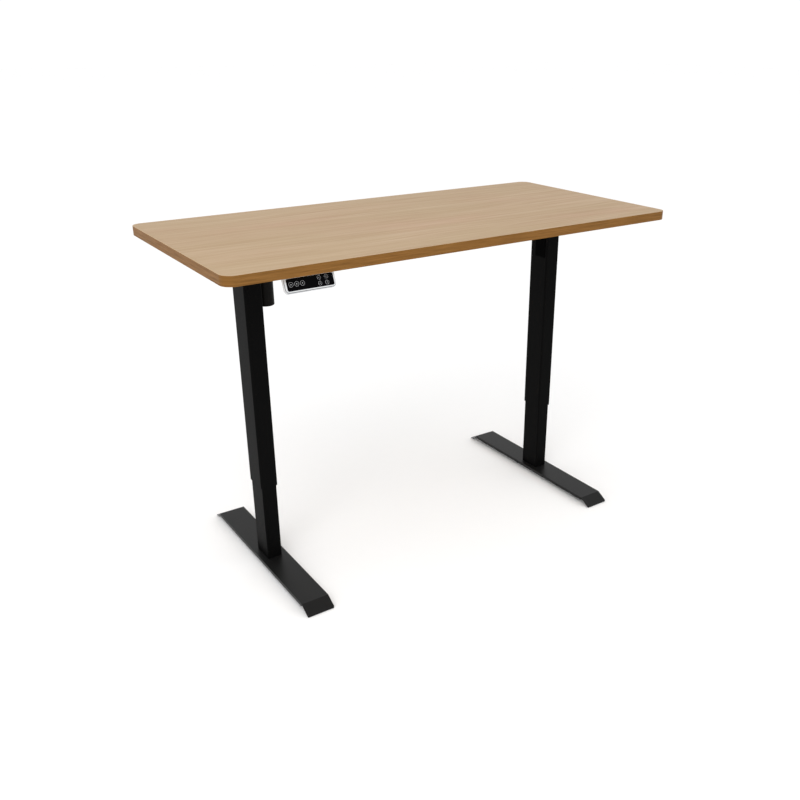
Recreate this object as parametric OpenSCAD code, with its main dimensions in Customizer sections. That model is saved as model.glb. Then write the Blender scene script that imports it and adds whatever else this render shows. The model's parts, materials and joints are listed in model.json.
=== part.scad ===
// Height adjustable standing desk, two telescopic columns driven by one motor.
// Origin on the floor at the centre of the footprint, +X along the desktop,
// +Y to the back (user sits at -Y), +Z up.  All sizes in millimetres.

/* [Desktop] */
// length of the desktop along X
top_length = 1400; // [1200:10:1800]
// depth of the desktop from front edge to back edge
top_depth = 670; // [600:10:800]
// board thickness
top_thickness = 25; // [18:1:36]
// corner radius of the desktop seen from above
corner_radius = 30; // [10:1:80]
// thickness of the glued edge band
band_thickness = 1; // [0.5:0.5:2]

/* [Height] */
// height of the underside of the board above the floor
frame_height = 935; // [705:5:1155]

/* [Columns] */
// distance between the two column centres
leg_spacing = 1030; // [900:10:1100]
// outer tube size along X
outer_w = 50; // [48:1:54]
// outer tube size along Y
outer_d = 80; // [74:1:84]
// sheet thickness of both tubes
tube_wall = 1.5; // [1.2:0.1:1.8]
// corner radius of the outer tube
tube_radius = 5; // [4:0.5:8]
// diameter of the lead screws
screw_d = 14; // [12:1:16]

/* [Feet] */
// length of the flat part of a foot
foot_flat = 583; // [500:1:620]
// width of a foot
foot_width = 80; // [74:1:100]
// sheet thickness of the feet
foot_sheet = 2.5; // [2:0.5:3]
// horizontal run of the sloping flap at each end
flap_run = 36; // [24:1:45]

/* [Drive] */
// motor radius
motor_r = 23; // [18:0.5:23]
// how far the motor hangs below the board
motor_drop = 157; // [140:1:170]
// across flats of the hexagonal cross shaft
hex_af = 8; // [7:0.5:9]

/* [Handset] */
// centre of the handset along X
handset_x = -492; // [-520:1:520]
// width of the handset
handset_w = 127; // [127:1:150]
// tilt of the key face back from vertical, in degrees
face_tilt = 22; // [18:1:26]
// how far a key stands proud of the panel
key_proud = 0.6; // [0.4:0.1:0.9]

/* [Hidden] */
$fn = 64;
e = 0.01;
xl = leg_spacing / 2;          // column centre
zu = frame_height;             // underside of the board
zs = zu + top_thickness;       // desktop surface
yf = -top_depth / 2;           // front edge
zt = zu - 75;                  // top of the outer tubes
zb = zu - 677;                 // bottom of the outer tubes
zx = zu - 43;                  // axis of the cross shaft
zp = zu - 4;                   // underside of a side arm's web
foot_top = 24;                 // upper face of a foot
foot_lip = 14.5;               // lower edge of a foot's side flange
inner_w = outer_w - 6;         // inner tube size along X
inner_d = outer_d - 5;         // inner tube size along Y
inner_top = 584;               // top of the inner tubes
arm_half = top_depth / 2 - 75; // half length of a side arm
arm_gap = outer_w + 0.4;       // width inside a side arm
arm_w = arm_gap + 4;           // width over a side arm
mx = -(xl - outer_w / 2 - motor_r - 1); // motor axis
screw_bot = zu - 605;          // lower end of the lead screws
beam_y = 55;                   // crossbeam rail centre
glide_y = foot_flat / 2 - 22;  // levelling glide position
ft = face_tilt;
face_z = zu - 33.5;            // lower edge of the handset face
face_y = yf + 0.4;
key_travel = 0.5;
lid_x = [-xl + arm_w / 2 + 5.4, mx + motor_r - 1]; // drive cover screws
ctl_y0 = 95;
ctl_y1 = 205;

// ---------- helpers ----------
module bx(x0, x1, y0, y1, z0, z1) { translate([x0, y0, z0]) cube([x1 - x0, y1 - y0, z1 - z0]); }
module rr(w, d, r) {
  square([w - 2 * r, d], center = true);
  square([w, d - 2 * r], center = true);
  for (i = [-1, 1], j = [-1, 1]) translate([i * (w / 2 - r), j * (d / 2 - r)]) circle(r = r);
}
module rbar(w, d, r, z0, z1) { translate([0, 0, z0]) linear_extrude(z1 - z0) rr(w, d, r); }
module cyz(r, z0, z1) { translate([0, 0, z0]) cylinder(r = r, h = z1 - z0); }
// cylinder along +X
module cyx(r, x0, x1) { translate([x0, 0, 0]) rotate([0, 90, 0]) cylinder(r = r, h = x1 - x0); }
// cylinder along +Y
module cyy(r, y0, y1) { translate([0, y0, 0]) rotate([-90, 0, 0]) cylinder(r = r, h = y1 - y0); }
// drawn in the handset's key-face frame: x along X, y up the face, z out of it
module face() { translate([handset_x, face_y, face_z]) rotate([90 - ft, 0, 0]) children(); }

// fixing positions
arm_screw_y = [-(arm_half - 15), -110, 110, arm_half - 15];
module at_arm_screws() for (s = [-1, 1], y = arm_screw_y) translate([s * xl, y, 0]) children();
module at_ctl_screws() for (x = [-138, 138], y = [ctl_y0 + 15, ctl_y1 - 15]) translate([x, y, 0]) children();
module at_hs_screws() for (s = [-1, 1]) translate([handset_x + s * 50, yf + 50, 0]) children();
module at_key(i) translate([key_x[i], key_v[i], 0]) children();
key_x = [-49.2, -34.8, -20.4, 22.9, 41.4, 22.9, 41.4];
key_v = [17.8, 17.8, 17.8, 24.6, 24.6, 10.9, 10.9];
key_r = [6.2, 6.2, 6.2, 5.2, 5.2, 5.2, 5.2];

// ---------- desktop ----------
module tabletop() color([0.78, 0.67, 0.55]) difference() {
  rbar(top_length - 2 * band_thickness, top_depth - 2 * band_thickness, corner_radius - band_thickness, zu, zs);
  at_arm_screws() cyz(2.05, zu - 1, zu + 14);
  at_ctl_screws() cyz(1.55, zu - 1, zu + 12);
  at_hs_screws() cyz(1.55, zu - 1, zu + 12);
}
module edge_band() color([0.56, 0.40, 0.21]) difference() {
  rbar(top_length, top_depth, corner_radius, zu, zs);
  rbar(top_length - 2 * band_thickness, top_depth - 2 * band_thickness, corner_radius - band_thickness, zu - 1, zs + 1);
}

// ---------- side arms ----------
module side_arm() color([0.09, 0.09, 0.09]) difference() {
  // downward channel, shallower at both ends
  translate([-arm_w / 2, 0, 0]) rotate([90, 0, 90]) linear_extrude(arm_w) polygon([
    [-arm_half, zu - 2], [-arm_half, zu - 16], [-arm_half + 50, zu - 30],
    [arm_half - 50, zu - 30], [arm_half, zu - 16], [arm_half, zu - 2]]);
  bx(-arm_gap / 2, arm_gap / 2, -arm_half - 1, arm_half + 1, zu - 40, zp);
  for (y = arm_screw_y) translate([0, y, 0]) cyz(2.3, zp - 1, zu);
  // column head screws through both flanges
  for (y = [-29.5, 29.5]) translate([0, y, zu - 16]) cyx(2.6, -arm_w, arm_w);
  // rail screws through both flanges keep the part usable left and right
  for (y = [-beam_y, beam_y]) translate([0, y, zu - 16]) cyx(3.1, -arm_w, arm_w);
}
module side_arm_left() translate([-xl, 0, 0]) side_arm();
module side_arm_right() translate([xl, 0, 0]) side_arm();
module top_pads() color([0.05, 0.05, 0.05]) at_arm_screws() difference() { cyz(9, zu - 2, zu); cyz(2.3, zu - 3, zu + 1); }
module pan_screw(r, rh, hh, z0, z1) {
  // head under z0, shank up to z1
  difference() { cyz(rh, z0 - hh, z0); translate([0, 0, z0 - hh - 1]) cylinder(r = rh * 0.45, h = 1 + hh * 0.6, $fn = 6); }
  cyz(r, z0 - e, z1);
}
module top_screws() color([0.15, 0.15, 0.15]) at_arm_screws() pan_screw(2, 5, 2.6, zp, zu + 13.5);

// ---------- crossbeam ----------
module beam() color([0.08, 0.08, 0.08]) {
  // C-section rail with a welded tab at each end
  bl = xl - arm_w / 2 - 3;
  difference() {
    bx(-bl - e, bl + e, -10, 10, zu - 32, zu - 4);
    bx(-bl - 1, bl + 1, -8, 11, zu - 30, zu - 6);
  }
  for (s = [0, 1]) mirror([s, 0, 0]) difference() {
    bx(bl, bl + 3, -12, 12, zu - 32, zu - 3);
    translate([0, 0, zu - 16]) cyx(3.1, bl - 1, bl + 4);
  }
}
module beam_front() translate([0, -beam_y, 0]) mirror([0, 0, 0]) beam();
module beam_back() translate([0, beam_y, 0]) mirror([0, 1, 0]) beam();
module beam_bolts() color([0.2, 0.2, 0.2]) for (s = [0, 1], t = [-1, 1]) mirror([s, 0, 0]) {
  bl = xl - arm_w / 2 - 3;
  translate([0, t * beam_y, zu - 16]) {
    // head inside the rail end, nut inside the side arm
    difference() { cyx(5, bl - 4, bl); translate([bl - 5, 0, 0]) rotate([0, 90, 0]) cylinder(r = 2.6, h = 3, $fn = 6); }
    cyx(3, bl - e, bl + 13);
    difference() { translate([bl + 5, 0, 0]) rotate([0, 90, 0]) cylinder(r = 5.7, h = 5, $fn = 6); cyx(3, bl + 4, bl + 11); }
  }
}

// ---------- columns, moving part ----------
module outer_tube() color([0.08, 0.08, 0.08]) difference() {
  rbar(outer_w, outer_d, tube_radius, zb, zt);
  rbar(outer_w - 2 * tube_wall, outer_d - 2 * tube_wall, tube_radius - tube_wall, zb - 1, zt + 1);
  for (y = [-1, 1]) translate([0, 0, zt - 7]) cyy(2.1, y * outer_d / 2 - 3, y * outer_d / 2 + 3);
}
module outer_tube_left() translate([-xl, 0, 0]) outer_tube();
module outer_tube_right() translate([xl, 0, 0]) outer_tube();
module collar() color([0.03, 0.03, 0.03]) difference() {
  rbar(outer_w - 2 * tube_wall, outer_d - 2 * tube_wall, tube_radius - tube_wall, zb, zb + 32);
  rbar(inner_w + 0.5, inner_d + 0.5, 3.75, zb - 1, zb + 33);
}
module collars() for (s = [-1, 1]) translate([s * xl, 0, 0]) collar();

// cast head of a column: plug in the tube, open box above it
module head_core() difference() {
  union() {
    rbar(outer_w, outer_d, tube_radius, zt, zp);
    rbar(outer_w - 2 * tube_wall, outer_d - 2 * tube_wall, tube_radius - tube_wall, zt - 12, zt + e);
  }
  // gear chamber
  rbar(outer_w - 14, outer_d - 14, 3, zt + 14, zp + 1);
  // screw bore and bearing seat
  cyz(screw_d / 2 + 1, zt - 13, zt + 15);
  cyz(screw_d / 2 + 7, zt + 3, zt + 15);
  // tapped holes for the arm screws
  for (y = [-29.5, 29.5]) translate([0, y, zu - 16]) cyx(2.05, -outer_w, outer_w);
  for (y = [-1, 1]) translate([0, 0, zt - 7]) cyy(2.05, y * outer_d / 2 - 10, y * outer_d / 2 + 10);
}
module gearbox_left() color([0.32, 0.32, 0.33]) difference() {
  union() {
    translate([-xl, 0, 0]) head_core();
    // drive housing carrying the motor
    bx(-xl + outer_w / 2 - e, mx + motor_r + 3, -20, 20, zt, zu - 33);
    bx(-xl + arm_w / 2 + 2, mx + motor_r + 3, -24, 24, zt, zu - 21);
  }
  // bevel chamber, open on top
  bx(mx - 16, mx + 19, -19, 19, zt + 8, zu - 20);
  translate([mx, 0, 0]) cyz(6, zt - 1, zt + 9);
  // cross shaft passage and bearing seats
  translate([0, 0, zx]) cyx(6, -xl + 10, mx + motor_r + 4);
  translate([0, 0, zx]) cyx(9, mx + 19 - e, mx + motor_r + 4);
  // cover screw holes
  for (x = lid_x, j = [-1, 1]) translate([x, j * 21.3, 0]) cyz(1.25, zu - 30, zu - 20);
}
module gearbox_right() color([0.32, 0.32, 0.33]) difference() {
  translate([xl, 0, 0]) head_core();
  translate([0, 0, zx]) cyx(9, xl - outer_w / 2 - 1, xl - outer_w / 2 + 8);
}
module head_bolts() color([0.2, 0.2, 0.2]) for (c = [-1, 1], s = [-1, 1], y = [-29.5, 29.5])
  translate([c * xl, y, zu - 16]) rotate([0, 0, s > 0 ? 0 : 180]) {
    cyx(2, arm_w / 2 - 8, arm_w / 2 + e);
    difference() { cyx(4.5, arm_w / 2, arm_w / 2 + 3); translate([arm_w / 2 + 1.4, 0, 0]) rotate([0, 90, 0]) cylinder(r = 2.1, h = 3, $fn = 6); }
  }
module tube_screws() color([0.2, 0.2, 0.2]) for (c = [-1, 1], s = [0, 180]) translate([c * xl, 0, zt - 7]) rotate([0, 0, s]) {
  cyy(2, outer_d / 2 - 9, outer_d / 2 + e);
  difference() { cyy(3.6, outer_d / 2, outer_d / 2 + 1.8); translate([0, outer_d / 2 + 0.8, 0]) rotate([-90, 0, 0]) cylinder(r = 1.5, h = 2, $fn = 6); }
}
module drive_lid() color([0.3, 0.3, 0.31]) difference() {
  bx(-xl + arm_w / 2 + 2, mx + motor_r + 3, -24, 24, zu - 21, zu - 18);
  for (x = lid_x, j = [-1, 1]) translate([x, j * 21.3, 0]) cyz(1.6, zu - 22, zu - 17);
}
module lid_screws() color([0.25, 0.25, 0.25]) for (x = lid_x, j = [-1, 1]) translate([x, j * 21.3, 0]) {
  cyz(1.2, zu - 28, zu - 18 + e);
  difference() { cyz(2.4, zu - 18, zu - 16.2); translate([0, 0, zu - 17.2]) cylinder(r = 1.1, h = 2, $fn = 6); }
}

// ---------- motor ----------
module motor_can() color([0.07, 0.07, 0.07]) translate([mx, 0, 0]) difference() {
  cyz(motor_r, zu - motor_drop + 9, zt);
  cyz(motor_r - 1.5, zu - motor_drop + 8, zt - 4);
  cyz(5.5, zt - 5, zt + 1);
}
module motor_cap() color([0.03, 0.03, 0.03]) translate([mx, 0, zu - motor_drop]) difference() {
  rotate_extrude() union() {
    square([motor_r - 2, 9]);
    translate([0, 2]) square([motor_r, 7]);
    translate([motor_r - 2, 2]) intersection() { circle(r = 2); translate([-1, -2]) square([3, 3]); }
    translate([0, 8]) square([motor_r - 1.6, 5]);
  }
  cyz(motor_r - 4, 4, 14);
  // tail bearing boss stays solid around the shaft
}
module motor_magnets() color([0.22, 0.22, 0.23]) translate([mx, 0, 0]) difference() {
  cyz(motor_r - 1.55, zu - motor_drop + 15, zt - 12);
  cyz(motor_r - 4.5, zu - motor_drop + 14, zt - 11);
}
module rotor() color([0.55, 0.42, 0.25]) translate([mx, 0, 0]) {
  cyz(motor_r - 5.2, zu - motor_drop + 20, zt - 16);
  cyz(3.5, zu - motor_drop + 5, zx - 16);
  translate([0, 0, zx - 16]) cylinder(r1 = 7.8, r2 = 4.2, h = 7.2);
}

// ---------- cross shaft and screws ----------
module cross_shaft() color([0.6, 0.6, 0.6])
  translate([-xl + 7, 0, zx]) rotate([0, 90, 0]) cylinder(r = hex_af / 2 / cos(30), h = 2 * xl - 14, $fn = 6);
module hexcut(x0, x1) translate([x0, 0, 0]) rotate([0, 90, 0]) cylinder(r = hex_af / 2 / cos(30), h = x1 - x0, $fn = 6);
module shaft_bevels() color([0.45, 0.45, 0.47]) for (s = [0, 1]) mirror([s, 0, 0]) translate([xl, 0, zx]) difference() {
  rotate([0, -90, 0]) translate([0, 0, 6.5]) cylinder(r1 = 6.1, r2 = 13.1, h = 7);
  hexcut(-20, 0);
}
module drive_bevel() color([0.45, 0.45, 0.47]) translate([mx, 0, zx]) difference() {
  rotate([0, 90, 0]) translate([0, 0, 5]) union() { cylinder(r1 = 9, r2 = 15.4, h = 3.2); translate([0, 0, 3.2 - e]) cylinder(r = 15.4, h = 2.5); }
  hexcut(-1, 14);
}
module shaft_bearings() color([0.5, 0.5, 0.52]) {
  translate([0, 0, zx]) difference() { cyx(9, mx + 19, mx + motor_r + 3); cyx(5.3, mx, mx + motor_r + 4); }
  translate([0, 0, zx]) difference() { cyx(9, xl - outer_w / 2, xl - outer_w / 2 + 6); cyx(5.3, xl - outer_w / 2 - 1, xl - outer_w / 2 + 8); }
}
module screw_bearings() color([0.5, 0.5, 0.52]) for (s = [-1, 1]) translate([s * xl, 0, 0]) difference() {
  cyz(screw_d / 2 + 7, zt + 3, zt + 13);
  cyz(screw_d / 2 + 0.1, zt + 2, zt + 14);
}
module lead_screw() color([0.55, 0.55, 0.56]) cyz(screw_d / 2, screw_bot, zx - 13.6);
module lead_screw_left() translate([-xl, 0, 0]) lead_screw();
module lead_screw_right() translate([xl, 0, 0]) lead_screw();
module screw_bevel() color([0.45, 0.45, 0.47]) translate([0, 0, zx - 13.6]) {
  cylinder(r1 = 13.2, r2 = 6.1, h = 7.1);
}
module screw_bevel_left() translate([-xl, 0, 0]) screw_bevel();
module screw_bevel_right() translate([xl, 0, 0]) screw_bevel();
// blanking cover over the unused motor port of the right column
module port_cover() color([0.06, 0.06, 0.06])
  bx(xl - outer_w / 2 - 1, xl - outer_w / 2, -31, 15, zu - 153, zt - 4);

// ---------- columns, standing part ----------
module inner_tube() color([0.12, 0.12, 0.12]) difference() {
  rbar(inner_w, inner_d, 3.5, foot_top, inner_top);
  rbar(inner_w - 2 * tube_wall, inner_d - 2 * tube_wall, 3.5 - tube_wall, foot_top + 6, inner_top + 1);
  for (i = [-1, 1], j = [-1, 1]) translate([i * 13, j * 24, 0]) cyz(3.1, foot_top - 1, foot_top + 7);
}
module inner_tube_left() translate([-xl, 0, 0]) inner_tube();
module inner_tube_right() translate([xl, 0, 0]) inner_tube();
module guide_cap() color([0.85, 0.85, 0.83]) difference() {
  union() {
    rbar(inner_w - 2 * tube_wall, inner_d - 2 * tube_wall, 3.5 - tube_wall, inner_top - 26, inner_top + e);
    rbar(outer_w - 2 * tube_wall - 0.6, outer_d - 2 * tube_wall - 0.6, 4.2, inner_top, inner_top + 6);
  }
  cyz(screw_d / 2 + 6, inner_top - 27, inner_top + 7);
}
module guide_caps() for (s = [-1, 1]) translate([s * xl, 0, 0]) guide_cap();
module lead_nut() color([0.72, 0.58, 0.3]) difference() {
  union() { cyz(screw_d / 2 + 6, inner_top - 26, inner_top + 6); cyz(screw_d / 2 + 10, inner_top + 6, inner_top + 9); }
  cyz(screw_d / 2 + 0.1, inner_top - 27, inner_top + 10);
}
module lead_nuts() for (s = [-1, 1]) translate([s * xl, 0, 0]) lead_nut();

// ---------- feet ----------
module foot() color([0.2, 0.2, 0.2]) {
  hf = foot_flat / 2;
  fe = hf + flap_run;
  sl = sqrt(flap_run * flap_run + 21 * 21);
  nx = 21 / sl * foot_sheet;
  nz = flap_run / sl * foot_sheet;
  difference() {
    union() {
      // web with a flap folded down at each end, flap corners rounded
      intersection() {
        translate([-foot_width / 2, 0, 0]) rotate([90, 0, 90]) linear_extrude(foot_width) polygon([
          [-fe, 3], [-hf, foot_top], [hf, foot_top], [fe, 3], [fe - nx, 3 - nz],
          [hf - nx / 2, foot_top - foot_sheet], [-hf + nx / 2, foot_top - foot_sheet], [-fe + nx, 3 - nz]]);
        rbar(foot_width, 2 * fe, 5, -1, foot_top + 1);
      }
      // side flanges, short of the flaps
      for (s = [0, 1]) mirror([s, 0, 0])
        translate([foot_width / 2 - foot_sheet, 0, 0]) rotate([90, 0, 90]) linear_extrude(foot_sheet) polygon([
          [-hf + 2, foot_top - e], [-hf + 5, foot_lip], [hf - 5, foot_lip], [hf - 2, foot_top - e]]);
    }
    for (i = [-1, 1], j = [-1, 1]) translate([i * 13, j * 24, 0]) cyz(3.2, foot_top - 5, foot_top + 1);
  }
}
module foot_left() translate([-xl, 0, 0]) foot();
module foot_right() translate([xl, 0, 0]) foot();
module foot_bolts() color([0.25, 0.25, 0.25]) for (c = [-1, 1], i = [-1, 1], j = [-1, 1]) translate([c * xl + i * 13, j * 24, 0]) {
  cyz(3, foot_top - foot_sheet - e, foot_top + 9);
  difference() {
    cyz(6, foot_top - foot_sheet - 3.5, foot_top - foot_sheet);
    translate([0, 0, foot_top - foot_sheet - 4]) cylinder(r = 2.3, h = 2.5, $fn = 6);
  }
}
module glide_nuts() color([0.3, 0.3, 0.3]) for (c = [-1, 1], j = [-1, 1]) translate([c * xl, j * glide_y, 0]) difference() {
  translate([0, 0, foot_top - foot_sheet - 7]) cylinder(r = 8, h = 7, $fn = 6);
  cyz(4.1, 0, foot_top - foot_sheet - 0.8);
}
module glide() color([0.05, 0.05, 0.05]) {
  rotate_extrude() polygon([[0, 0], [17, 0], [18, 1.2], [18, 4], [14, 8], [7, 9.5], [0, 9.5]]);
  cyz(4, 9.4, foot_top - foot_sheet - 1.2);
}
module glide_lf() translate([-xl, -glide_y, 0]) glide();
module glide_lb() translate([-xl, glide_y, 0]) glide();
module glide_rf() translate([xl, -glide_y, 0]) glide();
module glide_rb() translate([xl, glide_y, 0]) glide();

// ---------- control box ----------
module control_plate() color([0.35, 0.35, 0.36]) difference() {
  bx(-146, 146, ctl_y0, ctl_y1, zu - 2, zu);
  at_ctl_screws() cyz(1.8, zu - 3, zu + 1);
}
module control_case() color([0.06, 0.06, 0.06]) difference() {
  translate([0, (ctl_y0 + ctl_y1) / 2, 0]) difference() {
    rbar(260, ctl_y1 - ctl_y0, 6, zu - 38, zu - 2);
    rbar(255, ctl_y1 - ctl_y0 - 5, 3.5, zu - 35.5, zu - 1);
  }
  // mains inlet opening, motor sockets, handset socket
  bx(126, 131, 120, 148, zu - 31, zu - 10);
  for (x = [-95, -70]) bx(x, x + 18, ctl_y0 - 1, ctl_y0 + 3, zu - 28, zu - 16);
  bx(-20, -6, ctl_y0 - 1, ctl_y0 + 3, zu - 28, zu - 18);
  // cooling slots at the back
  for (x = [-60:12:60]) bx(x, x + 5, ctl_y1 - 3, ctl_y1 + 1, zu - 28, zu - 12);
}
module control_board() color([0.12, 0.28, 0.16]) {
  bx(-120, 110, ctl_y0 + 8, ctl_y1 - 8, zu - 33, zu - 31.4);
  bx(-100, -40, ctl_y0 + 40, ctl_y0 + 80, zu - 31.5, zu - 8);
  for (x = [-10, 16, 42]) translate([x, ctl_y0 + 60, 0]) cyz(9, zu - 31.5, zu - 9);
  bx(70, 92, ctl_y0 + 20, ctl_y0 + 90, zu - 31.5, zu - 14);
}
module mains_inlet() color([0.04, 0.04, 0.04]) {
  difference() {
    union() { bx(130, 132, 117, 151, zu - 33, zu - 8); bx(112, 130 + e, 120.2, 147.8, zu - 30.8, zu - 10.2); }
    bx(115, 133, 122.5, 145.5, zu - 28.5, zu - 12.5);
  }
  for (y = [127, 134, 141]) bx(114.9, 129, y - 1, y + 1, zu - 23, zu - 18);
}
module control_screws() color([0.2, 0.2, 0.2]) {
  at_ctl_screws() pan_screw(1.5, 3.6, 2, zu - 2, zu + 11.5);
}

// ---------- handset ----------
module hs_outline(w, r, v0 = 0) // width w, lower edge at v0, lower corners rounded by r
  translate([0, v0]) union() { translate([-w / 2, r]) square([w, 60]); translate([-w / 2 + r, 0]) square([w - 2 * r, r + 1]);
    for (s = [-1, 1]) translate([s * (w / 2 - r), r]) circle(r = r); }
module handset_case() color([0.82, 0.82, 0.83]) difference() {
  union() {
    // shallow shell along the face
    intersection() {
      face() union() {
        translate([0, 0, -11]) linear_extrude(11) hs_outline(handset_w, 9);
        // rear half stands out round the bezel as a narrow lip
        translate([0, 0, -11]) linear_extrude(8.5) hs_outline(handset_w + 3.6, 10.8, -2.6);
      }
      bx(handset_x - 100, handset_x + 100, yf - 10, yf + 60, zu - 60, zu);
    }
    // fixing flange under the board
    bx(handset_x - handset_w / 2 + 1.5, handset_x + handset_w / 2 - 1.5, face_y + 20, yf + 64, zu - 3, zu);
  }
  // hollow behind the face, below the flange
  intersection() {
    face() translate([-58.5, 3.4, -9.2]) cube([117, 60, 6.8]);
    bx(handset_x - 100, handset_x + 100, yf - 10, yf + 60, zu - 60, zu - 3.6);
  }
  // seam between bezel and lip
  face() translate([0, 0, -4]) linear_extrude(3) difference() {
    hs_outline(handset_w + 2.2, 10.1, -1.1);
    hs_outline(handset_w, 9);
  }
  // panel pocket and window
  face() translate([0, 17.2, -1.4]) linear_extrude(5) rr(119.7, 29.2, 4.1);
  face() translate([-57, 5, -4]) cube([114, 25.4, 4]);
  at_hs_screws() cyz(1.8, zu - 4, zu + 1);
}
module handset_panel() color([0.02, 0.02, 0.02]) face() difference() {
  translate([0, 17.2, -1.4]) linear_extrude(1.4) rr(119.5, 29, 4);
  for (i = [0:6]) at_key(i) cyz(key_r[i], -3, 2);
}
module handset_board() color([0.12, 0.28, 0.16]) face() {
  translate([-55, 5.6, -8.4]) cube([110, 24, 1.4]);
  // display module behind the panel
  translate([-9, 10, -7.1]) cube([24, 15, 5.3]);
}
module key(i) color([0.06, 0.06, 0.06]) face() at_key(i) {
  difference() { cyz(key_r[i] - 0.1, -1.6, key_proud); cyz(key_r[i] - 1.6, key_proud - 0.2, key_proud + 1); }
  cyz(key_r[i] + 0.4, -2.6, -1.5);
  cyz(1.5, -6.2, -2.5);
}
module key_up() key(0);
module key_down() key(1);
module key_m() key(2);
module key_1() key(3);
module key_2() key(4);
module key_3() key(5);
module key_4() key(6);

tabletop();
edge_band();
side_arm_left();
side_arm_right();
top_pads();
top_screws();
beam_front();
beam_back();
beam_bolts();
outer_tube_left();
outer_tube_right();
collars();
gearbox_left();
gearbox_right();
head_bolts();
tube_screws();
drive_lid();
lid_screws();
motor_can();
motor_cap();
motor_magnets();
rotor();
cross_shaft();
shaft_bevels();
drive_bevel();
shaft_bearings();
screw_bearings();
lead_screw_left();
lead_screw_right();
screw_bevel_left();
screw_bevel_right();
port_cover();
inner_tube_left();
inner_tube_right();
guide_caps();
lead_nuts();
foot_left();
foot_right();
foot_bolts();
glide_nuts();
glide_lf();
glide_lb();
glide_rf();
glide_rb();
control_plate();
control_case();
control_board();
mains_inlet();
control_screws();
handset_case();
handset_panel();
handset_board();
key_up();
key_down();
key_m();
key_1();
key_2();
key_3();
key_4();
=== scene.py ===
import bpy, bmesh, json, math
from mathutils import Matrix, Vector


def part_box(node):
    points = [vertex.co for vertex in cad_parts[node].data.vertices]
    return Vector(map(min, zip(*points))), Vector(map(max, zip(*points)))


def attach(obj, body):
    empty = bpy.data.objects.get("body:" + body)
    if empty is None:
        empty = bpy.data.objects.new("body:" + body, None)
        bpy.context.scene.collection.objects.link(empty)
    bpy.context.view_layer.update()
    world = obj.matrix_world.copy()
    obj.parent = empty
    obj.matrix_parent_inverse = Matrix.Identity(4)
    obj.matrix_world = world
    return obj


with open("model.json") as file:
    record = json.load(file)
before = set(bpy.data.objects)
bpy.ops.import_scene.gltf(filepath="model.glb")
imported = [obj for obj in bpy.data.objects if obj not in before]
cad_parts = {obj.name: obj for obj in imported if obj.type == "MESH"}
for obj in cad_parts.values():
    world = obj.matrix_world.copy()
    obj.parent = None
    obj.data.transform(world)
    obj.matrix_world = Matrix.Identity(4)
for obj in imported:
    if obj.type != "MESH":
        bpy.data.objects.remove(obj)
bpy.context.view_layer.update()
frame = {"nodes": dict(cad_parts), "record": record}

scene = bpy.context.scene
nodes = frame["nodes"]

# ---------------------------------------------------------------- colour helpers
def lin(r, g, b):
    out = []
    for c in (r, g, b):
        c = c / 255.0
        out.append(c / 12.92 if c <= 0.04045 else ((c + 0.055) / 1.055) ** 2.4)
    return (out[0], out[1], out[2], 1.0)

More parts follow.
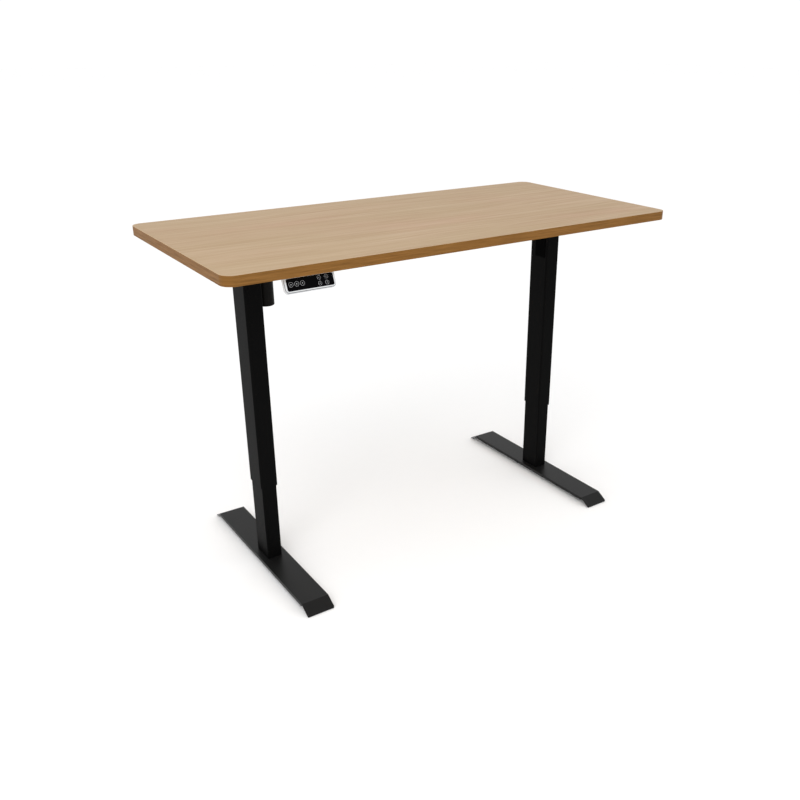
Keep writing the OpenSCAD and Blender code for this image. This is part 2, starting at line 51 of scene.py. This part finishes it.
# ---------------------------------------------------------------- node helpers
class Mat:
    def __init__(self, name):
        self.m = bpy.data.materials.new(name)
        self.m.use_nodes = True
        self.t = self.m.node_tree
        self.t.nodes.clear()
        self.out = self.t.nodes.new("ShaderNodeOutputMaterial")
        self.b = self.t.nodes.new("ShaderNodeBsdfPrincipled")
        self.t.links.new(self.b.outputs[0], self.out.inputs["Surface"])
        self.tc = self.t.nodes.new("ShaderNodeTexCoord")
        self.co = self.tc.outputs["Object"]
    def link(self, a, b):
        self.t.links.new(a, b)
    def map(self, scale, src=None, rot=(0, 0, 0), loc=(0, 0, 0)):
        n = self.t.nodes.new("ShaderNodeMapping")
        n.inputs["Scale"].default_value = scale
        n.inputs["Rotation"].default_value = rot
        n.inputs["Location"].default_value = loc
        self.link(src or self.co, n.inputs["Vector"])
        return n.outputs[0]
    def noise(self, vec, scale=1.0, detail=4.0, rough=0.55, dist=0.0):
        n = self.t.nodes.new("ShaderNodeTexNoise")
        n.inputs["Scale"].default_value = scale
        n.inputs["Detail"].default_value = detail
        n.inputs["Roughness"].default_value = rough
        n.inputs["Distortion"].default_value = dist
        self.link(vec, n.inputs["Vector"])
        return n.outputs["Fac"]
    def ramp(self, fac, stops):
        n = self.t.nodes.new("ShaderNodeValToRGB")
        el = n.color_ramp.elements
        while len(el) > 1:
            el.remove(el[-1])
        el[0].position = stops[0][0]; el[0].color = stops[0][1]
        for p, c in stops[1:]:
            e = el.new(p); e.color = c
        self.link(fac, n.inputs[0])
        return n.outputs[0]
    def mix(self, fac, a, b, mode="MIX"):
        n = self.t.nodes.new("ShaderNodeMix")
        n.data_type = "RGBA"; n.blend_type = mode
        for sock, v in ((n.inputs[0], fac), (n.inputs[6], a), (n.inputs[7], b)):
            if hasattr(v, "is_output"):
                self.link(v, sock)
            else:
                sock.default_value = v
        return n.outputs[2]
    def math(self, op, a, b=None, clamp=False):
        n = self.t.nodes.new("ShaderNodeMath"); n.operation = op; n.use_clamp = clamp
        for i, v in enumerate((a, b)):
            if v is None:
                continue
            if hasattr(v, "is_output"):
                self.link(v, n.inputs[i])
            else:
                n.inputs[i].default_value = v
        return n.outputs[0]
    def rng(self, v, a, b, c, d, smooth=False):
        n = self.t.nodes.new("ShaderNodeMapRange")
        n.clamp = True
        if smooth:
            n.interpolation_type = "SMOOTHSTEP"
        for i, x in zip((1, 2, 3, 4), (a, b, c, d)):
            n.inputs[i].default_value = x
        self.link(v, n.inputs[0])
        return n.outputs[0]
    def sep(self, v):
        n = self.t.nodes.new("ShaderNodeSeparateXYZ"); self.link(v, n.inputs[0]); return n.outputs
    def comb(self, x, y, z):
        n = self.t.nodes.new("ShaderNodeCombineXYZ")
        for i, v in enumerate((x, y, z)):
            if hasattr(v, "is_output"):
                self.link(v, n.inputs[i])
            else:
                n.inputs[i].default_value = v
        return n.outputs[0]
    def normal(self):
        n = self.t.nodes.new("ShaderNodeNewGeometry"); return n.outputs["Normal"]
    def bump(self, h, strength=0.2, dist=0.0002):
        n = self.t.nodes.new("ShaderNodeBump")
        n.inputs["Strength"].default_value = strength
        n.inputs["Distance"].default_value = dist
        self.link(h, n.inputs["Height"])
        self.link(n.outputs[0], self.b.inputs["Normal"])
    def color(self, v):
        if hasattr(v, "is_output"):
            self.link(v, self.b.inputs["Base Color"])
        else:
            self.b.inputs["Base Color"].default_value = v
    def rough(self, v):
        if hasattr(v, "is_output"):
            self.link(v, self.b.inputs["Roughness"])
        else:
            self.b.inputs["Roughness"].default_value = v
    def set(self, name, v):
        self.b.inputs[name].default_value = v

# ---------------------------------------------------------------- materials
def oak_top():
    k = Mat("oak_laminate_top")
    warp = k.noise(k.map((0.9, 4.5, 4.5)), 1.0, 3, 0.5)
    s = k.sep(k.co)
    y = k.math("ADD", s[1], k.math("MULTIPLY", k.math("SUBTRACT", warp, 0.5), 0.10))
    v = k.comb(s[0], y, s[2])
    broad = k.noise(k.map((1.1, 26, 26), v), 1.0, 5, 0.6, 0.2)
    grain = k.noise(k.map((2.6, 120, 120), v, loc=(3, 1, 0)), 1.0, 6, 0.62, 0.1)
    pores = k.noise(k.map((9, 520, 520), v, loc=(1, 7, 0)), 1.0, 3, 0.6)
    # the top's oak is drawn lighter than the edge band's: the wood's own colour with a painted sheen added
    c1 = k.ramp(broad, [(0.30, lin(161, 133, 103)), (0.5, lin(169, 143, 113)), (0.70, lin(177, 152, 124))])
    c2 = k.ramp(grain, [(0.34, lin(156, 128, 96)), (0.5, lin(169, 143, 113)), (0.66, lin(179, 154, 126))])
    c = k.mix(0.5, c1, c2)
    # slow drift between a pinker and a yellower tone, and long pale flakes
    tone = k.noise(k.map((2.2, 5.5, 5.5), loc=(4, 2, 0)), 1.0, 3, 0.5)
    c = k.mix(k.rng(tone, 0.42, 0.62, 0.0, 0.45), c, lin(168, 146, 114))
    c = k.mix(k.rng(tone, 0.30, 0.44, 0.45, 0.0), c, lin(174, 141, 116))
    flake = k.noise(k.map((3.5, 60, 60), v, loc=(9, 4, 0)), 1.0, 4, 0.55, 0.4)
    c = k.mix(k.rng(flake, 0.58, 0.72, 0.0, 0.36), c, lin(189, 165, 139))
    pm = k.rng(pores, 0.30, 0.44, 1.0, 0.0)
    c = k.mix(k.math("MULTIPLY", pm, 0.26), c, lin(134, 103, 72))
    # underside: plain balancing layer
    nz = k.sep(k.normal())[2]
    under = k.rng(nz, -0.6, -0.4, 1.0, 0.0)
    speck = k.noise(k.map((160, 160, 160)), 1.0, 4, 0.7)
    uc = k.ramp(speck, [(0.35, lin(176, 150, 120)), (0.65, lin(196, 170, 139))])
    k.color(k.mix(under, c, uc))
    k.rough(k.rng(grain, 0.3, 0.7, 0.56, 0.44))
    k.set("Specular IOR Level", 0.09)
    k.bump(k.math("ADD", k.math("MULTIPLY", pores, 0.7), grain), 0.18, 0.00012)
    return k.m

def oak_edge():
    k = Mat("oak_edge_band")
    s = k.sep(k.co)
    along = k.math("ADD", s[0], s[1])
    v = k.comb(along, s[2], 0.0)
    warp = k.noise(k.map((5, 30, 1), v), 1.0, 2, 0.5)
    zz = k.math("ADD", s[2], k.math("MULTIPLY", k.math("SUBTRACT", warp, 0.5), 0.006))
    w = k.comb(along, zz, 0.0)
    streak = k.noise(k.map((10, 330, 1), w), 1.0, 5, 0.66, 0.3)
    fine = k.noise(k.map((40, 900, 1), w), 1.0, 4, 0.6)
    patch = k.noise(k.map((9, 14, 1), v, loc=(2, 0, 0)), 1.0, 3, 0.5)
    c = k.ramp(streak, [(0.28, lin(92, 62, 28)), (0.45, lin(117, 81, 38)), (0.6, lin(131, 92, 46)), (0.75, lin(150, 108, 56))])
    c = k.mix(k.rng(patch, 0.35, 0.65, 0.0, 0.4), c, lin(126, 85, 38))
    c = k.mix(k.math("MULTIPLY", k.rng(fine, 0.30, 0.46, 1.0, 0.0), 0.35), c, lin(84, 54, 20))
    # painted highlight: faces of the band turned upward are drawn lighter where it meets the top
    nz = k.sep(k.normal())[2]
    painted_arris_highlight = k.rng(nz, 0.25, 0.75, 0.0, 1.0)
    c = k.mix(painted_arris_highlight, c, lin(192, 162, 122))
    k.color(c)
    k.set("Specular IOR Level", 0.08)
    k.rough(k.rng(streak, 0.3, 0.7, 0.50, 0.38))
    k.bump(k.math("ADD", fine, streak), 0.15, 0.0001)
    return k.m

def powder(name, a, b, rough0=0.40, rough1=0.52, grit=0.22, spec=0.2):
    k = Mat(name)
    big = k.noise(k.map((7, 7, 7)), 1.0, 4, 0.6)
    fine = k.noise(k.map((1500, 1500, 1500)), 1.0, 2, 0.6)
    peel = k.noise(k.map((420, 420, 420)), 1.0, 3, 0.5)
    c = k.mix(big, a, b)
    c = k.mix(k.math("MULTIPLY", k.rng(fine, 0.55, 0.72, 0.0, 1.0), 0.35), c, (b[0] * 2.4, b[1] * 2.4, b[2] * 2.4, 1))
    k.color(c)
    k.rough(k.rng(peel, 0.3, 0.7, rough0, rough1))
    k.set("Specular IOR Level", spec)
    k.bump(k.math("ADD", fine, k.math("MULTIPLY", peel, 0.8)), grit, 0.00008)
    return k.m

def plastic(name, a, b, rough=0.5, grain=900, coat=0.0, bump=0.15, spec=0.4):
    k = Mat(name)
    n1 = k.noise(k.map((grain, grain, grain)), 1.0, 3, 0.6)
    n2 = k.noise(k.map((25, 25, 25)), 1.0, 3, 0.5)
    k.color(k.mix(n2, a, b))
    k.rough(k.rng(n1, 0.3, 0.7, rough - 0.05, rough + 0.06))
    k.set("Specular IOR Level", spec)
    if coat:
        k.set("Coat Weight", coat)
        k.set("Coat Roughness", 0.05)
    k.bump(n1, bump, 0.00005)
    return k.m

def metal(name, a, b, rough=0.3, brushed=(12, 900, 900), bump=0.12):
    k = Mat(name)
    n1 = k.noise(k.map(brushed), 1.0, 4, 0.6)
    n2 = k.noise(k.map((60, 60, 60)), 1.0, 3, 0.5)
    k.color(k.mix(n2, a, b))
    k.set("Metallic", 1.0)
    k.rough(k.rng(n1, 0.3, 0.7, rough - 0.07, rough + 0.10))
    k.bump(n1, bump, 0.00005)
    return k.m

def screw_steel():
    # bright rod with a rolled trapezoidal thread drawn as bands along Z, the thread roots painted darker as shade
    k = Mat("lead_screw_thread")
    s = k.sep(k.co)
    w = k.math("FRACT", k.math("MULTIPLY", s[2], 250.0))
    tri = k.math("ABSOLUTE", k.math("SUBTRACT", w, 0.5))
    h = k.rng(tri, 0.14, 0.36, 0.0, 1.0, True)
    k.color(k.mix(h, lin(112, 108, 100), lin(190, 190, 190)))
    k.set("Metallic", 1.0)
    k.rough(k.rng(h, 0.0, 1.0, 0.45, 0.22))
    k.bump(h, 0.8, 0.0012)
    return k.m

def cast():
    k = Mat("die_cast")
    n1 = k.noise(k.map((700, 700, 700)), 1.0, 4, 0.6)
    n2 = k.noise(k.map((18, 18, 18)), 1.0, 4, 0.6)
    k.color(k.mix(n2, lin(120, 120, 122), lin(150, 150, 152)))
    k.set("Metallic", 0.9)
    k.rough(k.rng(n1, 0.3, 0.7, 0.45, 0.62))
    k.bump(n1, 0.35, 0.00015)
    return k.m

def pcb():
    k = Mat("circuit_board")
    s = k.sep(k.map((1, 1, 1)))
    gx = k.math("ABSOLUTE", k.math("SUBTRACT", k.math("FRACT", k.math("MULTIPLY", s[0], 330.0)), 0.5))
    n = k.noise(k.map((60, 60, 60)), 1.0, 2, 0.5)
    tr = k.math("MULTIPLY", k.rng(gx, 0.30, 0.34, 0.0, 1.0), k.rng(n, 0.5, 0.52, 0.0, 1.0))
    k.color(k.mix(tr, lin(18, 74, 38), lin(58, 120, 72)))
    k.rough(0.35)
    k.bump(tr, 0.3, 0.0001)
    return k.m

M = {
    "oak_laminate": oak_top(),
    "edge_oak": oak_edge(),
    "powder_black": powder("powder_coat_black", lin(8, 8, 8), lin(11, 11, 11), 0.34, 0.44, 0.2, 0.018),
    "zinc_black": metal("fastener_black", lin(46, 46, 48), lin(70, 70, 72), 0.38, (500, 500, 500)),
    "steel": metal("bright_steel", lin(150, 151, 153), lin(178, 179, 180), 0.30),
    "cast_alu": cast(),
    "brass": metal("machined_brass", lin(168, 136, 74), lin(190, 158, 92), 0.28, (900, 900, 12)),
    "nylon_white": plastic("nylon", lin(214, 212, 200), lin(224, 222, 212), 0.45, 500),
    "plastic_black": plastic("moulded_black", lin(8, 8, 8), lin(12, 12, 12), 0.5, 1100, spec=0.12),
    "rubber_black": plastic("rubber", lin(17, 17, 17), lin(26, 26, 25), 0.8, 700, bump=0.3),
    "shell_silver": plastic("shell_silver", lin(196, 197, 199), lin(208, 209, 211), 0.36, 1300, bump=0.06),
    "panel_gloss": plastic("panel_gloss", lin(2, 2, 3), lin(3, 3, 4), 0.12, 1500, bump=0.01, spec=0.03),
    "key_black": plastic("key_black", lin(3, 3, 3), lin(5, 5, 5), 0.28, 1500, bump=0.05, spec=0.03),
    "board_green": pcb(),
}
foot_mat = powder("powder_coat_feet", lin(14, 14, 14), lin(20, 20, 20), 0.34, 0.46, 0.2, 0.17)
# the motor's black is tinted brown as a painted reflection
motor_painted_reflection_mat = powder("motor_black", lin(9, 8, 7), lin(15, 13, 11), 0.35, 0.5, 0.12, 0.06)
cover_mat = plastic("cover_black", lin(1, 1, 1), lin(2, 2, 2), 0.55, 900, bump=0.1, spec=0.01)
# dark grey for the painted shadow gap round the handset shell
shadow_gap_mat = plastic("painted_shadow_gap_grey", lin(34, 34, 36), lin(48, 48, 50), 0.6, 900, bump=0.1, spec=0.1)
print_mat = plastic("key_print", lin(160, 160, 163), lin(184, 184, 187), 0.5, 1200, bump=0.05)
thread_mat = screw_steel()
slots = {s["node"]: s["material_slot"] for s in frame["record"]["subparts"]}
special = {"foot_left": foot_mat, "foot_right": foot_mat, "port_cover": cover_mat, "motor_can": motor_painted_reflection_mat, "motor_cap": motor_painted_reflection_mat,
           "lead_screw_left": thread_mat, "lead_screw_right": thread_mat}

bevels = {
    "edge_band": 0.0007, "handset_case": 0.0014, "handset_panel": 0.0004, "foot_left": 0.0009, "foot_right": 0.0009,
    "outer_tube_left": 0.0004, "outer_tube_right": 0.0004, "inner_tube_left": 0.0004, "inner_tube_right": 0.0004,
    "side_arm_left": 0.0006, "side_arm_right": 0.0006, "beam_front": 0.0006, "beam_back": 0.0006,
    "gearbox_left": 0.0008, "gearbox_right": 0.0008, "control_case": 0.001, "motor_can": 0.0008, "port_cover": 0.0004,
    "drive_lid": 0.0006, "control_plate": 0.0004, "mains_inlet": 0.0004,
    "key_up": 0.0003, "key_down": 0.0003, "key_m": 0.0003, "key_1": 0.0003, "key_2": 0.0003, "key_3": 0.0003, "key_4": 0.0003,
}
for name, ob in nodes.items():
    m = special.get(name, M[slots[name]])
    if not ob.material_slots:
        ob.data.materials.append(m)
    for sl in ob.material_slots:
        sl.material = m
    if name in bevels:
        bv = ob.modifiers.new("edge", "BEVEL")
        bv.width = bevels[name]
        bv.segments = 3
        bv.limit_method = "ANGLE"
        bv.angle_limit = math.radians(38)
        bv.use_clamp_overlap = True
        bv.harden_normals = False

# ---------------------------------------------------------------- mesh helpers
def make(name, verts, faces, mat, body, smooth=False):
    me = bpy.data.meshes.new(name)
    me.from_pydata([tuple(v) for v in verts], [], faces)
    me.validate()
    me.update()
    bm = bmesh.new(); bm.from_mesh(me)
    bmesh.ops.recalc_face_normals(bm, faces=bm.faces)
    bm.to_mesh(me); bm.free()
    ob = bpy.data.objects.new(name, me)
    scene.collection.objects.link(ob)
    me.materials.append(mat)
    if smooth:
        for p in me.polygons:
            p.use_smooth = True
    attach(ob, body)
    return ob

# key-face frame, the same as the handset's in the model (metres)
TILT = math.radians(22)
hx = (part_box("handset_case")[0][0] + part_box("handset_case")[1][0]) / 2
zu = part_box("tabletop")[0][2]
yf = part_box("edge_band")[0][1]
F0 = Vector((hx, yf + 0.0004, zu - 0.0335))
FU = Vector((1, 0, 0))
FV = Vector((0, math.sin(TILT), math.cos(TILT)))
FN = Vector((0, -math.cos(TILT), math.sin(TILT)))
def fp(u, v, n):
    return F0 + FU * (u / 1000) + FV * (v / 1000) + FN * (n / 1000)

def lathe_on_face(name, cu, cv, prof, mat, body, seg=64):
    # prof: closed list of (radius, height) in mm, turned about the key's own axis
    vs, fs = [], []
    k = len(prof)
    for i in range(seg):
        a = 2 * math.pi * i / seg
        for r, h in prof:
            vs.append(fp(cu + r * math.cos(a), cv + r * math.sin(a), h))
    for i in range(seg):
        j = (i + 1) % seg
        for q in range(k):
            p = (q + 1) % k
            fs.append((i * k + q, j * k + q, j * k + p, i * k + p))
    return make(name, vs, fs, mat, body, True)

def prism_on_face(name, pts, n0, n1, mat, body):
    k = len(pts)
    vs = [fp(u, v, n0) for u, v in pts] + [fp(u, v, n1) for u, v in pts]
    fs = [tuple(range(k - 1, -1, -1)), tuple(range(k, 2 * k))]
    for i in range(k):
        j = (i + 1) % k
        fs.append((i, j, k + j, k + i))
    return make(name, vs, fs, mat, body)

def hs_ring(w, r, v0, top_v, n=12):
    # open run down the left side, round both lower corners and up the right side
    pts = [(-w / 2, top_v)]
    for i in range(n + 1):
        a = math.pi + math.pi / 2 * i / n
        pts.append((-w / 2 + r + r * math.cos(a), v0 + r + r * math.sin(a)))
    for i in range(n + 1):
        a = 1.5 * math.pi + math.pi / 2 * i / n
        pts.append((w / 2 - r + r * math.cos(a), v0 + r + r * math.sin(a)))
    pts.append((w / 2, top_v))
    return pts

# painted shadow gap: a dark grey strip set round the handset shell's parting line stands in for the shade in that
# groove
hs_w = (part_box("handset_case")[1][0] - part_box("handset_case")[0][0]) * 1000 - 3.6
inner = hs_ring(hs_w + 0.1, 9.05, -0.05, 27.0)
outer = hs_ring(hs_w + 2.1, 10.05, -1.05, 27.0)
shadow_gap_v, shadow_gap_f = [], []
cnt = len(inner)
for n_ in (-3.95, -3.1):
    for ring in (inner, outer):
        shadow_gap_v += [fp(u, v, n_) for u, v in ring]
def sv(layer, ring, i):
    return (layer * 2 + ring) * cnt + i
for i in range(cnt - 1):
    shadow_gap_f.append((sv(1, 0, i), sv(1, 1, i), sv(1, 1, i + 1), sv(1, 0, i + 1)))
    shadow_gap_f.append((sv(0, 0, i), sv(0, 0, i + 1), sv(0, 1, i + 1), sv(0, 1, i)))
    shadow_gap_f.append((sv(0, 1, i), sv(0, 1, i + 1), sv(1, 1, i + 1), sv(1, 1, i)))
    shadow_gap_f.append((sv(0, 0, i), sv(1, 0, i), sv(1, 0, i + 1), sv(0, 0, i + 1)))
for i in (0, cnt - 1):
    q = (sv(0, 0, i), sv(0, 1, i), sv(1, 1, i), sv(1, 0, i))
    shadow_gap_f.append(q if i == 0 else q[::-1])
make("handset_painted_shadow_gap", shadow_gap_v, shadow_gap_f, shadow_gap_mat, "lift")

KX = [-49.2, -34.8, -20.4, 22.9, 41.4, 22.9, 41.4]
KV = [17.8, 17.8, 17.8, 24.6, 24.6, 10.9, 10.9]
KR = [6.2, 6.2, 6.2, 5.2, 5.2, 5.2, 5.2]
KN = ["key_up", "key_down", "key_m", "key_1", "key_2", "key_3", "key_4"]
top = 0.60
for i, kn in enumerate(KN):
    body = kn + "_body"
    R = KR[i]
    # printed ring round the rim of the key, slightly domed
    lathe_on_face(kn + "_ring", KX[i], KV[i],
                  [(R - 0.95, top), (R - 0.85, top + 0.06), (R - 0.55, top + 0.07), (R - 0.42, top)], print_mat, body)
    u, v = KX[i], KV[i]
    base = 0.42
    if kn == "key_up":
        prism_on_face(kn + "_mark", [(u - 1.6, v - 1.0), (u + 1.6, v - 1.0), (u, v + 1.7)], base, base + 0.12, print_mat, body)
    elif kn == "key_down":
        prism_on_face(kn + "_mark", [(u - 1.6, v + 1.0), (u, v - 1.7), (u + 1.6, v + 1.0)], base, base + 0.12, print_mat, body)
    else:
        # round dot, the number of lobes left plain
        n = 24
        rr_ = 1.15 if kn == "key_m" else 0.85
        prism_on_face(kn + "_mark", [(u + rr_ * math.cos(2 * math.pi * q / n), v + rr_ * math.sin(2 * math.pi * q / n)) for q in range(n)],
                      base, base + 0.12, print_mat, body)

# ---------------------------------------------------------------- stage
floor_me = bpy.data.meshes.new("floor")
S = 40.0
floor_me.from_pydata([(-S, -S, 0), (S, -S, 0), (S, S, 0), (-S, S, 0)], [], [(0, 1, 2, 3)])
floor = bpy.data.objects.new("floor", floor_me)
scene.collection.objects.link(floor)
fm = Mat("floor_pale")
fn = fm.noise(fm.map((30, 30, 30)), 1.0, 3, 0.5)
fm.color(fm.mix(fn, (0.94, 0.94, 0.94, 1), (0.955, 0.955, 0.955, 1)))
fm.rough(0.9)
fm.set("Specular IOR Level", 0.1)
floor_me.materials.append(fm.m)

world = bpy.data.worlds.new("studio")
scene.world = world
world.use_nodes = True
wt = world.node_tree
wt.nodes["Background"].inputs[0].default_value = (1.0, 1.0, 1.0, 1)
wt.nodes["Background"].inputs[1].default_value = 1.06

def area(name, loc, target, size, power, col=(1, 1, 1)):
    l = bpy.data.lights.new(name, "AREA")
    l.shape = "RECTANGLE"; l.size = size[0]; l.size_y = size[1]
    l.energy = power; l.color = col
    o = bpy.data.objects.new(name, l)
    scene.collection.objects.link(o)
    o.location = loc
    d = Vector(target) - Vector(loc)
    o.rotation_euler = d.to_track_quat("-Z", "Y").to_euler()
    return o
area("key_light", (-1.9, -1.8, 2.9), (-0.2, 0, 0.8), (2.2, 2.2), 38)
area("fill_right", (3.2, -2.2, 2.6), (0, 0, 0.5), (2.5, 2.5), 5)

# ---------------------------------------------------------------- camera
yaw, pitch, roll = 0.6204, -0.4082, 0.0086
C = Vector((-1.3500, -2.0823, 1.4423))
fwd = Vector((math.sin(yaw) * math.cos(pitch), math.cos(yaw) * math.cos(pitch), math.sin(pitch)))
right = Vector((math.cos(yaw), -math.sin(yaw), 0))
up = right.cross(fwd)
r2 = right * math.cos(roll) + up * math.sin(roll)
u2 = -right * math.sin(roll) + up * math.cos(roll)
cam = bpy.data.cameras.new("camera")
cam.sensor_width = 36.0
cam.lens = 859.2 / 800 * 36.0
cam.shift_x = -0.0616
cam.shift_y = 0.0076
cam.clip_start = 0.05
cam.clip_end = 60
co = bpy.data.objects.new("camera", cam)
scene.collection.objects.link(co)
m = Matrix.Identity(4)
for i in range(3):
    m[i][0] = r2[i]; m[i][1] = u2[i]; m[i][2] = -fwd[i]; m[i][3] = C[i]
co.matrix_world = m
scene.camera = co
scene.view_settings.view_transform = "Standard"
